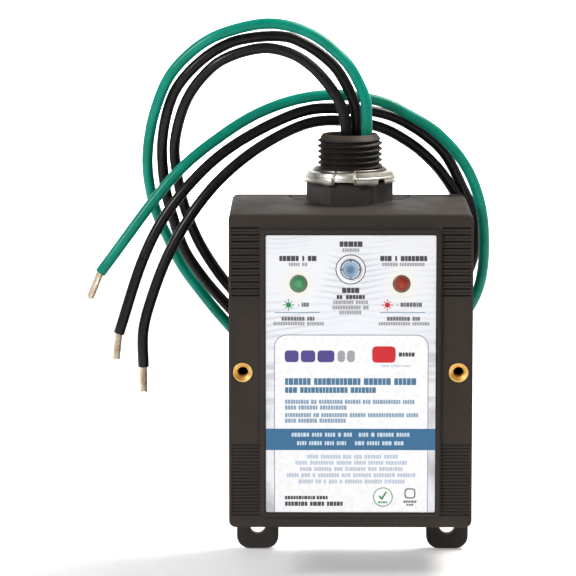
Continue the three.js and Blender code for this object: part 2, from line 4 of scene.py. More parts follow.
import bmesh
import bpy
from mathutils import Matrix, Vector


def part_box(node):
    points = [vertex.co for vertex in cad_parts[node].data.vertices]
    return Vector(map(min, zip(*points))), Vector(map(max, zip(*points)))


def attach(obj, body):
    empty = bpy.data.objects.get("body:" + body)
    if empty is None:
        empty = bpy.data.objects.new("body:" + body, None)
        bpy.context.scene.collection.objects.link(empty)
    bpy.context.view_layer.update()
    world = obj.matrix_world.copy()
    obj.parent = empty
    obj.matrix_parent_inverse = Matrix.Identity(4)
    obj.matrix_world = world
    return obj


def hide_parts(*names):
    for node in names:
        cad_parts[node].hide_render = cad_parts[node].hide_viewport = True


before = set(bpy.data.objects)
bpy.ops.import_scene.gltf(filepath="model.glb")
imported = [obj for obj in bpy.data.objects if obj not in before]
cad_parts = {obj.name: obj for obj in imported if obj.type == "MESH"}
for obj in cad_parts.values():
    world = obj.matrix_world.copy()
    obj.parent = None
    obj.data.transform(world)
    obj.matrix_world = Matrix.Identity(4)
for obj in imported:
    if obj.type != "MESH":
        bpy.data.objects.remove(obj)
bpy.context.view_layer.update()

MM = 0.001
TAU = 2 * math.pi
ROOT = "surge_protector"

# -------------------- dimensions, in millimetres

HALF_WIDTH = 38.9
TOP, BOTTOM = -7.0, -108.2
FRONT, REAR = -36.5, 16.2
WALL = 3.0
COVER_FRONT, COVER_BACK = 16.5, 20.5
CORNERS = {"low": 2.1, "high": 2.0}

BEZEL = {"x": 28.9, "low": -104.8, "high": -11.9, "front": -37.7, "radius": 2.0}
LABEL = {"x": 27.05, "low": -103.0, "high": -13.6, "front": -37.3, "back": -37.05}
RECESS_FLOOR = -36.75
UPPER_RIBS = {"top": -11.4, "count": 21, "depths": (0.8, 0.3)}
LOWER_RIBS = {"top": -81.3, "count": 22, "depths": (0.45, 0.45)}
RIB = {"pitch": 1.08, "groove": 0.52, "inner": 29.0, "outer": 38.05}

EARS = (-30.5, 33.2)
EAR = {"half": 7.0, "low": -126.6, "radius": 4.2, "hole_z": -119.2, "hole_r": 2.6}
COVER_SCREWS = [(x, z) for x in (-33.2, 33.2) for z in (-13.0, -102.0)]
COUNTERBORE = {"radius": 3.3, "depth": 2.4}
TONGUE = {"radius": 20.0, "y": 15.5, "gap": 0.6}

THREAD = {"pitch": 1.814, "crest": 10.65, "root": 9.5, "lead_in": 0.55, "start": 0.4, "fade": 0.8}
MOUTH = {"top": 15.2, "rim": 8.9, "slope": 0.75}
HEX = {"flats": 25.0, "corner": 14.1, "low": -6.8}
FOOT = {"radius": 14.35, "lip": 12.7, "web": -6.1, "low": -6.95}
NECK = {"radius": 10.3, "low": -16.4}
BORE = 8.0
NUT = {"bore": 10.95, "low": 0.3, "top": 4.2, "rim": 14.9}
# The seals' inner and outer radius, low and high.
WASHER = (10.95, 12.8, 0.3, 1.3)
GASKET = (10.65, 12.2, -6.8, -6.15)

LAMPS = {"green": -16.6, "red": 16.1}
LAMP = {"z": -29.1, "radius": 2.72, "rise": 0.55, "tip": -37.65, "hole": 2.85, "pin_gap": 1.27}
BUTTON = {"x": -0.1, "z": -24.5, "radius": 3.2, "front": -38.0, "hole": 3.32, "flange": 4.6, "stem": 1.3}
FLANGE_FRONT = FRONT + WALL + 0.3
SWITCH_FRONT = -27.6
INSERT = {"x": 34.4, "z": -57.8, "radius": 3.15, "bore": 1.7, "mouth": 2.7, "length": 9.0}

LEAD_R = 1.8
STRAND_BUNDLE = 1.25

# The free leads' centre lines, from the seal in the nipple's mouth to the end of the insulation.
GREEN_ROUTE = [
    (5.5, -1, 13.3), (5.5, -1, 20), (5, -1, 26.5), (2.5, 0, 32.5), (-0.5, 0, 37.5), (-5.5, 0.5, 42.5),
    (-11.5, 0.5, 47), (-19, 0.5, 50), (-26.5, 0.5, 51), (-36, 0.5, 49.5), (-45.5, 1, 46), (-53, 2, 40.5),
    (-59, 3, 33.5), (-63, 4, 24.5), (-65.5, 6, 15), (-66.5, 8, 4.5), (-65.5, 10, -5), (-63.5, 13, -13),
    (-60, 16.5, -21.5), (-56, 20, -30.5), (-50, 23, -39.5), (-40.5, 25, -51.5), (-28, 25, -63.5),
    (-12, 25, -69), (5, 25, -69), (21, 25, -63.5), (34.5, 24.5, -53.5), (43.5, 23.5, -39), (45, 21.5, -19),
    (42.5, 19.5, -6), (37.5, 17, 4.5), (28.5, 14.5, 14.5), (20, 12.5, 20), (11, 11, 24.5), (-3.5, 9, 27),
    (-16.5, 6, 26), (-30, 3, 21.5), (-42.5, 0, 14), (-56.5, -4, 2.5), (-81.5, -6, -30),
]
BLACK_A_ROUTE = [
    (2, 2.5, 13.3), (2, 2.5, 21), (1, 2.5, 26), (-4, 3, 35.5), (-8.5, 3, 40), (-14.5, 3, 44),
    (-21, 3, 46.5), (-36, 3, 45.5), (-44, 3.5, 42), (-51.5, 4, 36), (-57, 5, 29), (-60, 6, 21),
    (-61.5, 7, 12), (-61.5, 8.5, 3.5), (-60.5, 9.5, -5), (-58.5, 11, -13), (-55, 13.5, -24),
    (-49.5, 17.5, -33.5), (-41, 23, -44.5), (-31, 25, -54.5), (-17, 25, -60.5), (-2, 25, -62),
    (12, 25, -58.5), (24.5, 25.5, -51), (34.5, 26.5, -41), (40.5, 27.5, -33), (42.5, 28, -24),
    (41.5, 27, -13.5), (38, 25, -5.5), (31, 20, 7.5), (20, 16, 16.5), (11, 14.5, 20.5), (-5.5, 10.5, 22.5),
    (-14.5, 7.5, 22), (-28.5, 4, 16.5), (-42.5, 0, 8), (-53, -3.5, -2), (-61, -5, -12.5),
    (-67.5, -6, -25.5), (-75.5, -6, -50),
]
BLACK_B_ROUTE = [
    (-1, -1, 13.3), (-2, -1, 21.5), (-4.5, -1, 27.5), (-8.5, -1, 33), (-13, -0.5, 37.5),
    (-18.5, -0.5, 41), (-26.5, 0, 43), (-34, 0.5, 42), (-42.5, 1.5, 38.5), (-48.5, 3, 33), (-53, 4, 26.5),
    (-56, 5.5, 18.5), (-57.5, 7, 10), (-57, 9, 2.5), (-55.5, 11.5, -6.5), (-53, 14.5, -15),
    (-49, 18, -24.5), (-40.5, 24, -38), (-32, 24.5, -46.5), (-20, 25, -52.5), (-7, 25, -54.5),
    (6, 25, -53), (18, 25, -48), (28, 25, -40), (35, 25, -29.5), (38.2, 24.5, -18.5), (37, 23.5, -10.5),
    (31.3, 21, -0.5), (26, 19, 5.5), (20, 17, 10.5), (10, 14, 16), (-5.5, 10.5, 18.5), (-14.5, 8, 17.5),
    (-28.5, 3.5, 11), (-40.5, 0, 2), (-49.5, -3, -8), (-58.5, -5, -22.5), (-64.5, -6, -37.5),
    (-67.5, -6, -49), (-67.5, -6, -61),
]
LEADS = {
    "green": {"route": GREEN_ROUTE, "tip": (-85, -6, -38.5), "length": 0.488},
    "black_a": {"route": BLACK_A_ROUTE, "tip": (-76.5, -6, -58.5), "length": 0.462},
    "black_b": {"route": BLACK_B_ROUTE, "tip": (-67.5, -6, -69.3), "length": 0.423},
}

# -------------------- camera

CAMERA = {"place": (-0.01334, -1.1224, 0.1229), "tilt": 81.956, "yaw": 0.35, "lens": 215.8}


def placed(name, data):
    """A new object in the scene for this mesh, light or camera."""
    thing = bpy.data.objects.new(name, data)
    bpy.context.scene.collection.objects.link(thing)
    return thing


def make_camera():
    data = bpy.data.cameras.new("camera")
    data.lens = CAMERA["lens"]
    data.sensor_width = 36
    data.clip_start, data.clip_end = 0.05, 20
    camera = placed("camera", data)
    camera.location = CAMERA["place"]
    camera.rotation_euler = (math.radians(CAMERA["tilt"]), 0, math.radians(CAMERA["yaw"]))
    bpy.context.scene.camera = camera


make_camera()

# -------------------- materials


def srgb(red, green, blue):
    """A display colour of 0 to 255 a channel as the linear colour that the shader takes."""
    linear = [c / 12.92 if c <= 0.04045 else ((c + 0.055) / 1.055) ** 2.4
              for c in (red / 255, green / 255, blue / 255)]
    return (*linear, 1.0)


class Nodes:
    """A material's node tree, with one call for each node that the materials below use."""

    def __init__(self, name):
        self.material = bpy.data.materials.new(name)
        self.material.use_nodes = True
        self.tree = self.material.node_tree
        self.shader = self.tree.nodes["Principled BSDF"]
        self.place = self.add("ShaderNodeTexCoord").outputs["Object"]

    def add(self, kind, **values):
        node = self.tree.nodes.new(kind)
        for key, value in values.items():
            setattr(node, key, value)
        return node

    def put(self, value, socket):
        if isinstance(value, bpy.types.NodeSocket):
            self.tree.links.new(value, socket)
        else:
            socket.default_value = value

    def noise(self, scale, detail=3.0, stretch=None, roughness=0.5):
        node = self.add("ShaderNodeTexNoise")
        where = self.place
        if stretch:
            mapping = self.add("ShaderNodeMapping")
            self.put(where, mapping.inputs["Vector"])
            mapping.inputs["Scale"].default_value = stretch
            where = mapping.outputs["Vector"]
        self.put(where, node.inputs["Vector"])
        node.inputs["Scale"].default_value = scale
        node.inputs["Detail"].default_value = detail
        node.inputs["Roughness"].default_value = roughness
        return node.outputs["Fac"]

    def span(self, value, low, high, out_low=0.0, out_high=1.0, smooth=False):
        node = self.add("ShaderNodeMapRange")
        if smooth:
            node.interpolation_type = "SMOOTHSTEP"
        for key, setting in (("Value", value), ("From Min", low), ("From Max", high),
                             ("To Min", out_low), ("To Max", out_high)):
            self.put(setting, node.inputs[key])
        return node.outputs["Result"]

    def mottle(self, scale, detail, *limits):
        """Noise whose values from low to high are spread over 0 to 1 or over the two further limits."""
        return self.span(self.noise(scale, detail), *limits)

    def math(self, operation, first, second=0.0):
        node = self.add("ShaderNodeMath", operation=operation)
        self.put(first, node.inputs[0])
        self.put(second, node.inputs[1])
        return node.outputs["Value"]

    def mix(self, factor, first, second):
        node = self.add("ShaderNodeMix", data_type="RGBA")
        self.put(factor, node.inputs["Factor"])
        self.put(first, node.inputs[6])
        self.put(second, node.inputs[7])
        return node.outputs[2]

    def axes(self):
        """The place in metres along X, Y and Z."""
        split = self.add("ShaderNodeSeparateXYZ")
        self.put(self.place, split.inputs["Vector"])
        return [split.outputs[axis] for axis in "XYZ"]

    def length(self, a, b):
        squares = self.math("ADD", self.math("MULTIPLY", a, a), self.math("MULTIPLY", b, b))
        return self.math("SQRT", squares)

    def distance_from(self, x, z):
        """The distance in metres from a line along Y at (x, z), given in millimetres."""
        along_x, _, along_z = self.axes()
        return self.length(self.math("SUBTRACT", along_x, x * MM), self.math("SUBTRACT", along_z, z * MM))

    def bump(self, height, strength, distance):
        node = self.add("ShaderNodeBump")
        node.inputs["Strength"].default_value = strength
        node.inputs["Distance"].default_value = distance
        self.put(height, node.inputs["Height"])
        self.put(node.outputs["Normal"], self.shader.inputs["Normal"])

    def finish(self, colour, roughness, **constants):
        self.put(colour, self.shader.inputs["Base Color"])
        self.put(roughness, self.shader.inputs["Roughness"])
        for key, value in constants.items():
            self.shader.inputs[key.replace("_", " ")].default_value = value
        return self.material


def shade(colour, factor):
    return (*[c * factor for c in colour[:3]], 1.0)


def moulded(name, colour, roughness=0.6, grain=2600, depth=0.00002, spread=0.14, specular=0.25):
    """Moulded plastic: a fine even texture, faint cloudiness and a little wear in the gloss."""
    n = Nodes(name)
    cloud = n.mottle(38, 4, 0.3, 0.7)
    base = n.mix(cloud, shade(colour, 1 - spread), shade(colour, 1 + spread))
    speck = n.mottle(grain * 0.5, 2, 0.62, 0.75)
    base = n.mix(n.math("MULTIPLY", speck, 0.25), base, shade(colour, 1.6))
    n.bump(n.noise(grain, 2.5, roughness=0.6), 0.55, depth)
    gloss = n.mottle(160, 5, 0.35, 0.65, roughness - 0.03, roughness + 0.04)
    return n.finish(base, gloss, Specular_IOR_Level=specular)


def nipple_plastic():
    """Satin black plastic, darker on the thread than on the hex, and brown on the mouth's chamfer."""
    n = Nodes("nipple_plastic")
    height = n.axes()[2]
    thread = n.span(height, 0.0004, 0.0012)
    base = n.mix(thread, srgb(66, 62, 60), srgb(34, 30, 27))
    base = n.mix(n.span(height, 0.0134, 0.0140), base, srgb(62, 52, 45))
    cloud = n.mottle(60, 4, 0.3, 0.7, 0, 0.35)
    base = n.mix(cloud, base, srgb(44, 41, 40))
    n.bump(n.noise(1800, 2.5, roughness=0.6), 0.5, 0.00002)
    return n.finish(base, n.mottle(160, 4, 0.35, 0.65, 0.48, 0.58), Specular_IOR_Level=0.25)


def metal(name, colour, roughness, tint=None):
    """Bare or plated metal: fine tool marks, stains and uneven gloss."""
    n = Nodes(name)
    stain = n.mottle(260, 4, 0.35, 0.68)
    base = n.mix(stain, colour, tint or shade(colour, 0.8))
    n.bump(n.noise(900, 3), 0.5, 0.000015)
    gloss = n.mottle(700, 4, 0.3, 0.7, roughness - 0.08, roughness + 0.12)
    return n.finish(base, gloss, Metallic=1.0)


def zinc_plate():
    """Satin zinc with a yellowish stain, darker on the collar next to the thread."""
    n = Nodes("zinc_plate")
    out = n.length(*n.axes()[:2])
    base = n.mix(n.mottle(240, 4, 0.35, 0.68), srgb(218, 216, 211), srgb(198, 195, 180))
    base = n.mix(n.span(out, 0.01215, 0.0125), srgb(112, 109, 102), base)
    n.bump(n.noise(500, 3), 0.5, 0.000006)
    return n.finish(base, n.mottle(700, 4, 0.3, 0.7, 0.32, 0.48), Metallic=1.0)


def ink(name, colour):
    """Printed ink: a flat colour with the slight unevenness of a screen print."""
    n = Nodes(name)
    base = n.mix(n.mottle(900, 3, 0.3, 0.7), shade(colour, 0.93), shade(colour, 1.05))
    n.bump(n.noise(5000, 2), 0.2, 0.000004)
    return n.finish(base, n.mottle(300, 3, 0.3, 0.7, 0.37, 0.48))


def insulation(name, colour, light):
    """A drawn nylon jacket: satin, a little uneven and with a dusty bloom."""
    n = Nodes(name)
    bloom = n.mottle(90, 5, 0.42, 0.75, 0, 0.35)
    base = n.mix(bloom, colour, light)
    n.bump(n.noise(420, 3, roughness=0.5), 0.25, 0.00004)
    gloss = n.mottle(420, 4, 0.3, 0.7, 0.24, 0.42)
    return n.finish(base, gloss, Specular_IOR_Level=0.2, Coat_Weight=0.05, Coat_Roughness=0.1)


def label_film():
    """White polyester with faint printed waves, streaks and patches below them, and cream round each lamp."""
    n = Nodes("label_film")
    height = n.axes()[2]
    low_part = n.span(height, -0.042, -0.05)
    swell = n.math("ADD", height, n.math("MULTIPLY", n.noise(24, 2), 0.018))
    waves = n.math("SINE", n.math("MULTIPLY", swell, 3300))
    faint = n.math("MULTIPLY", n.span(waves, 0.1, 1.0), n.mottle(45, 2, 0.4, 0.6, 0, 0.7))
    lines = n.span(n.noise(420, 2, (0.12, 1, 1)), 0.45, 0.6, 0, 0.6)
    patches = n.span(n.noise(105, 3, (1, 1, 0.8)), 0.4, 0.62, 0.1, 0.95)
    streaks = n.mix(n.span(height, -0.066, -0.074), lines, patches)
    pattern = n.mix(low_part, faint, streaks)
    tone = n.mottle(30, 2, 0.35, 0.65)
    base = n.mix(tone, srgb(238, 240, 244), srgb(228, 232, 240))
    base = n.mix(pattern, base, n.mix(low_part, srgb(200, 201, 209), srgb(180, 181, 188)))
    for x in LAMPS.values():
        glow = n.span(n.distance_from(x, LAMP["z"]), 0.0026, 0.0068, 0.7, 0.0, smooth=True)
        base = n.mix(glow, base, srgb(238, 237, 224))
    n.bump(n.noise(1400, 3), 0.2, 0.00001)
    gloss = n.mottle(220, 3, 0.3, 0.7, 0.36, 0.48)
    return n.finish(base, gloss, Coat_Weight=0.2, Coat_Roughness=0.3)


def lens(name, x, core, edge, rim):
    """Diffused epoxy: a brighter middle and a darker edge, painted as the dome's light and shade, and a pale
    rim where the dome meets its hole, which is a painted highlight.
    """
    n = Nodes(name)
    away = n.distance_from(x, LAMP["z"])
    # Painted light and shade: the dome is brighter in the middle and darker towards its edge.
    base = n.mix(n.span(away, 0.0006, 0.0020, smooth=True), core, edge)
    # Painted highlight: a pale rim round the dome's foot.
    base = n.mix(n.span(away, 0.0018, 0.0026, 0, 0.85, smooth=True), base, rim)
    haze = n.mottle(900, 3, 0.4, 0.7, 0, 0.05)
    base = n.mix(haze, base, srgb(235, 235, 225))
    n.bump(n.noise(1500, 2), 0.1, 0.00001)
    return n.finish(base, n.mottle(500, 2, 0.3, 0.7, 0.22, 0.34), Specular_IOR_Level=0.3,
                    Subsurface_Weight=0.15, Subsurface_Scale=0.001, Coat_Weight=0.2, Coat_Roughness=0.15)


def button_face():
    """Pale blue plastic in rings: a darker middle, a thin dark line, a white ring and a slate rim."""
    n = Nodes("button_face")
    away = n.distance_from(BUTTON["x"], BUTTON["z"])
    base = n.mix(n.span(away, 0.0009, 0.0012), srgb(88, 122, 156), srgb(124, 152, 180))
    base = n.mix(n.span(away, 0.00155, 0.0018), base, srgb(158, 180, 200))
    base = n.mix(n.span(away, 0.0022, 0.0023), base, srgb(84, 104, 134))
    base = n.mix(n.span(away, 0.0024, 0.0025), base, srgb(208, 216, 226))
    base = n.mix(n.span(away, 0.0028, 0.0029), base, srgb(104, 122, 148))
    base = n.mix(n.mottle(800, 3, 0.45, 0.75, 0, 0.2), base, srgb(90, 120, 160))
    n.bump(n.noise(2500, 2), 0.3, 0.00001)
    return n.finish(base, n.mottle(400, 2, 0.3, 0.7, 0.36, 0.48))


def circuit_laminate():
    """Green solder mask over darker copper areas."""
    n = Nodes("circuit_laminate")
    copper = n.span(n.noise(240, 1, (1, 0.01, 1)), 0.5, 0.52)
    base = n.mix(copper, srgb(20, 74, 44), srgb(38, 110, 66))
    n.bump(copper, 0.4, 0.00003)
    return n.finish(base, n.mottle(300, 2, 0.3, 0.7, 0.3, 0.45))


PLASTIC = moulded("housing_plastic", srgb(55, 50, 46), roughness=0.7, spread=0.1, specular=0.12)
NIPPLE_PLASTIC = nipple_plastic()
RUBBER = moulded("black_rubber", srgb(24, 23, 22), roughness=0.72, grain=1500)
POTTING = moulded("potting_compound", srgb(36, 34, 32), roughness=0.5, grain=700, depth=0.00012)
ZINC = zinc_plate()
BRASS = metal("insert_brass", srgb(255, 220, 140), 0.46, tint=srgb(246, 196, 112))
STEEL = metal("screw_steel", srgb(168, 168, 166), 0.32)
TINNED = metal("tinned_copper", srgb(226, 214, 196), 0.3, tint=srgb(196, 172, 140))
GREEN_JACKET = insulation("green_jacket", srgb(0, 126, 104), srgb(0, 176, 156))
BLACK_JACKET = insulation("black_jacket", srgb(20, 18, 18), srgb(44, 40, 38))
FILM = label_film()
# Each lens gets a lit middle, an edge in painted shade and a rim that is a painted highlight.
GREEN_LENS = lens("green_lens", LAMPS["green"], srgb(66, 150, 102), srgb(50, 120, 80), srgb(106, 124, 96))
RED_LENS = lens("red_lens", LAMPS["red"], srgb(160, 36, 14), srgb(122, 34, 18), srgb(128, 84, 64))
BUTTON_FACE = button_face()
LAMINATE = circuit_laminate()
EPOXY = moulded("varistor_epoxy", srgb(47, 98, 168), roughness=0.35, grain=500)
CERAMIC = moulded("component_ceramic", srgb(220, 216, 204), roughness=0.35, grain=900)
BLACK_PART = moulded("component_black", srgb(32, 32, 34), roughness=0.5)
INK_COLOURS = {
    "black": (64, 64, 68), "grey": (160, 161, 166), "pale": (186, 198, 214), "navy": (58, 72, 100),
    "title": (70, 118, 152), "slate": (132, 160, 184), "band": (46, 104, 146), "white": (244, 244, 246),
    "frost": (196, 214, 230), "ash": (104, 104, 108), "outline": (150, 152, 166), "violet": (76, 62, 138),
    "red": (204, 18, 34), "green": (16, 138, 78),
}
INKS = {name: ink(f"ink_{name}", srgb(*colour)) for name, colour in INK_COLOURS.items()}

# -------------------- mesh tools


def mesh_of(verts, faces):
    """A mesh in metres from points in millimetres, with its faces turned outwards."""
    mesh = bpy.data.meshes.new("mesh")
    mesh.from_pydata([(x * MM, y * MM, z * MM) for x, y, z in verts], [], faces)
    shape = bmesh.new()
    shape.from_mesh(mesh)
    bmesh.ops.recalc_face_normals(shape, faces=shape.faces)
    shape.to_mesh(mesh)
    shape.free()
    return mesh


def loft(rings, torus=False):
    """Joins rings of equal size in turn. A torus joins the last to the first; the rest are capped."""
    size, count = len(rings[0]), len(rings)
    faces = []
    for j in range(count if torus else count - 1):
        a, b = j * size, (j + 1) % count * size
        faces += [(a + i, a + (i + 1) % size, b + (i + 1) % size, b + i) for i in range(size)]
    if not torus:
        faces.append(tuple(reversed(range(size))))
        faces.append(tuple(range((count - 1) * size, count * size)))
    return mesh_of([p for ring in rings for p in ring], faces)


def circle(radius, sides):
    return [(radius * math.cos(TAU * i / sides), radius * math.sin(TAU * i / sides)) for i in range(sides)]


def turned_z(profile, sides=128, torus=True):
    """A closed (radius, z) profile turned about the nipple's axis; without torus both its ends are capped."""
    return loft([[(x, y, z) for x, y in circle(r, sides)] for r, z in profile], torus)


def turned_y(profile, x0, z0, sides=64, torus=False):
    """A (radius, y) profile turned about a line along Y at (x0, z0)."""
    return loft([[(x0 + x, y, z0 + z) for x, z in circle(r, sides)] for r, y in profile], torus)


def rounded_rect(x0, x1, z0, z1, low, high=None, steps=6):
    high = low if high is None else high
    corners = [(x1 - low, z0 + low, low, -90), (x1 - high, z1 - high, high, 0),
               (x0 + high, z1 - high, high, 90), (x0 + low, z0 + low, low, 180)]
    points = []
    for cx, cz, r, start in corners:
        for k in range(steps + 1):
            a = math.radians(start + 90 * k / steps)
            points.append((cx + r * math.cos(a), cz + r * math.sin(a)))
    return points


def slab(outline, front, back, front_edge=0.0, back_edge=0.0, steps=4):
    """outline(inset) gives (x, z) points; the slab runs from front to back with quarter-round edges."""
    sections = []
    for edge, y, way in ((front_edge, front, 1), (back_edge, back, -1)):
        arc = [(0, y)]
        if edge:
            turns = [math.pi / 2 * k / steps for k in range(steps + 1)]
            arc = [(edge * (1 - math.sin(a)), y + way * edge * (1 - math.cos(a))) for a in turns]
        sections += arc if way > 0 else arc[::-1]
    return loft([[(x, y, z) for x, z in outline(inset)] for inset, y in sections])


def block(x, y, z):
    """A plain box between three pairs of limits, used for cutting and for square pins."""
    return loft([[(x[0], y[0], h), (x[1], y[0], h), (x[1], y[1], h), (x[0], y[1], h)] for h in z])


def applied(helper, modifiers):
    """The mesh of a helper object with these modifiers applied; the helper is removed."""
    for kind, settings in modifiers:
        modifier = helper.modifiers.new(kind, kind)
        for key, value in settings.items():
            setattr(modifier, key, value)
    depsgraph = bpy.context.evaluated_depsgraph_get()
    mesh = bpy.data.meshes.new_from_object(helper.evaluated_get(depsgraph))
    bpy.data.objects.remove(helper)
    return mesh


def combined(mesh, others, operation):
    """mesh cut by, or joined with, each of the others in turn."""
    for other in others:
        helper, tool = placed("helper", mesh), placed("helper", other)
        mesh = applied(helper, [("BOOLEAN", {"operation": operation, "solver": "EXACT", "object": tool})])
        bpy.data.objects.remove(tool)
    return mesh


def softened(mesh, width, segments=2):
    """Breaks the edges sharper than 35 degrees, then keeps the flat faces flat in shading."""
    return applied(placed("helper", mesh), [
        ("BEVEL", {"width": width * MM, "segments": segments, "limit_method": "ANGLE",
                   "angle_limit": math.radians(35), "use_clamp_overlap": True, "miter_outer": "MITER_ARC"}),
        ("WEIGHTED_NORMAL", {"keep_sharp": True, "weight": 80}),
    ])


def merged(meshes):
    """Several closed meshes as one mesh."""
    shape = bmesh.new()
    for mesh in meshes:
        shape.from_mesh(mesh)
    whole = bpy.data.meshes.new("mesh")
    shape.to_mesh(whole)
    shape.free()
    return whole


def piece(name, mesh, material, body=ROOT, replaces=(), sharp=32):
    """A shown piece, smooth but for edges sharper than this many degrees, that rides on a body."""
    mesh.name = name
    mesh.materials.clear()
    mesh.materials.append(material)
    mesh.polygons.foreach_set("use_smooth", [True] * len(mesh.polygons))
    mesh.set_sharp_from_angle(angle=math.radians(sharp))
    shown = placed(name, mesh)
    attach(shown, body)
    if replaces:
        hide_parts(*replaces)
    return shown


# -------------------- leads


def spline(points, per_span):
    """Points along a centripetal Catmull-Rom curve through the given points."""
    knots = [Vector(p) for p in points]
    knots = [2 * knots[0] - knots[1], *knots, 2 * knots[-1] - knots[-2]]
    line = []
    for a, b, c, d in zip(knots, knots[1:], knots[2:], knots[3:]):
        t1 = (b - a).length ** 0.5
        t2 = t1 + (c - b).length ** 0.5
        t3 = t2 + (d - c).length ** 0.5
        for k in range(per_span):
            t = t1 + (t2 - t1) * k / per_span
            ab = a.lerp(b, t / t1)
            bc = b.lerp(c, (t - t1) / (t2 - t1))
            cd = c.lerp(d, (t - t2) / (t3 - t2))
            line.append(ab.lerp(bc, t / t2).lerp(bc.lerp(cd, (t - t1) / (t3 - t1)), (t - t1) / (t2 - t1)))
    return [*line, knots[-2]]


def frames(line):
    """Two steady directions across the line at each of its points."""
    side = Vector((1, 0, 0))
    found = []
    for i in range(len(line)):
        along = (line[min(i + 1, len(line) - 1)] - line[max(i - 1, 0)]).normalized()
        side = (side - along * side.dot(along)).normalized()
        found.append((side.copy(), along.cross(side)))
    return found


def ring_at(centre, axes, radius, sides):
    u, v = axes
    angles = [TAU * i / sides for i in range(sides)]
    return [tuple(centre + (u * math.cos(a) + v * math.sin(a)) * radius) for a in angles]


def jacket(line):
    """The insulation: a round tube cut square, with a soft lip and a hollow for the strands."""
    axes, sides = frames(line), 20
    rings = [ring_at(p, a, LEAD_R, sides) for p, a in zip(line, axes)]
    end, across = line[-1], axes[-1]
    back = (line[-2] - line[-1]).normalized()
    rings[-1] = ring_at(end + back * 0.25, across, LEAD_R, sides)
    lip = [(LEAD_R - 0.08, 0.07), (LEAD_R - 0.25, 0.0), (STRAND_BUNDLE + 0.12, 0.0),
           (STRAND_BUNDLE + 0.04, 0.12), (STRAND_BUNDLE + 0.04, 1.5)]
    rings += [ring_at(end + back * depth, across, radius, sides) for radius, depth in lip]
    return loft(rings)


def strand_bundle(start, tip, seed):
    """Nineteen twisted strands in two layers round a core, a little spread and uneven at the tip."""
    draw = random.Random(seed)
    start, tip = Vector(start), Vector(tip)
    along = (tip - start).normalized()
    side = along.orthogonal().normalized()
    axes = (side, along.cross(side))
    reach = (tip - start).length
    radius, twist = 0.25, 0.28
    tubes = []
    for layer, count in ((0, 1), (1, 6), (2, 12)):
        for k in range(count):
            phase, spread = TAU * k / count + 0.2 * layer, draw.uniform(0.0, 0.07)
            length = reach - draw.uniform(0.0, 0.7)
            line = []
            for step in range(13):
                s = length * step / 12 - 1.2 * (1 - step / 12)
                away = layer * radius * 1.96 * (1 + spread * max(s, 0) / reach)
                turn = phase + twist * s
                line.append(start + along * s + (axes[0] * math.cos(turn) + axes[1] * math.sin(turn)) * away)
            rings = [ring_at(p, a, radius, 8) for p, a in zip(line, frames(line))]
            rings.append(ring_at(line[-1] + along * 0.08, axes, radius * 0.55, 8))
            tubes.append(loft(rings))
    return merged(tubes)


def make_leads():
    for number, (name, lead) in enumerate(LEADS.items()):
        line = spline(lead["route"], 6)
        colour = name.split("_")[0]
        material = GREEN_JACKET if colour == "green" else BLACK_JACKET
        tube = piece(f"{name}_lead_jacket", jacket(line), material,
                     replaces=[f"{name}_lead"], sharp=40)
        bundle = strand_bundle(lead["route"][-1], lead["tip"], number)
        strands = piece(f"{name}_lead_strands", bundle, TINNED,
                        replaces=[f"{name}_stripped_end"], sharp=50)


make_leads()

# -------------------- housing and cover


def body_outline(inset):
    return rounded_rect(-HALF_WIDTH + inset, HALF_WIDTH - inset, BOTTOM + inset, TOP - inset,
                        max(CORNERS["low"] - inset, 0.3), max(CORNERS["high"] - inset, 0.3))


def drum_y(radius, y0, y1, x, z):
    return turned_y([(radius, y0), (radius, y1)], x, z)


def drum_z(radius, z0, z1):
    return turned_z([(radius, z0), (radius, z1)], torus=False)


def tongue_plan(trim):
    """The plan of the slot behind the nipple: half a round, then straight sides to the back."""
    radius = TONGUE["radius"] - trim
    arc = [(radius * math.cos(a), TONGUE["y"] + radius * math.sin(a))
           for a in (math.pi * (1 + k / 64) for k in range(65))]
    return [*arc, (radius, 30), (-radius, 30)]


def groove_cutters(side, ribs):
    """One bar for each groove of a ribbed band, wider at its mouth, which rounds the ribs' edges."""
    bars = []
    x0, x1 = sorted((side * RIB["inner"], side * RIB["outer"]))
    for i in range(ribs["count"]):
        z = ribs["top"] - i * RIB["pitch"]
        depth = ribs["depths"][i % 2]
        half = RIB["groove"] / 2 if depth > 0.35 else RIB["groove"] / 3
        lip, floor = 0.13, FRONT + depth
        half_profile = [(FRONT - 1.0, half + lip), (FRONT, half + lip), (FRONT + lip * 0.3, half + lip * 0.3),
                        (FRONT + lip, half), (floor - 0.1, half - 0.02), (floor, half - 0.12)]
        section = [(y, z + h) for y, h in half_profile] + [(y, z - h) for y, h in reversed(half_profile)]
        bars.append(loft([[(x, y, h) for y, h in section] for x in (x0, x1)]))
    return merged(bars)


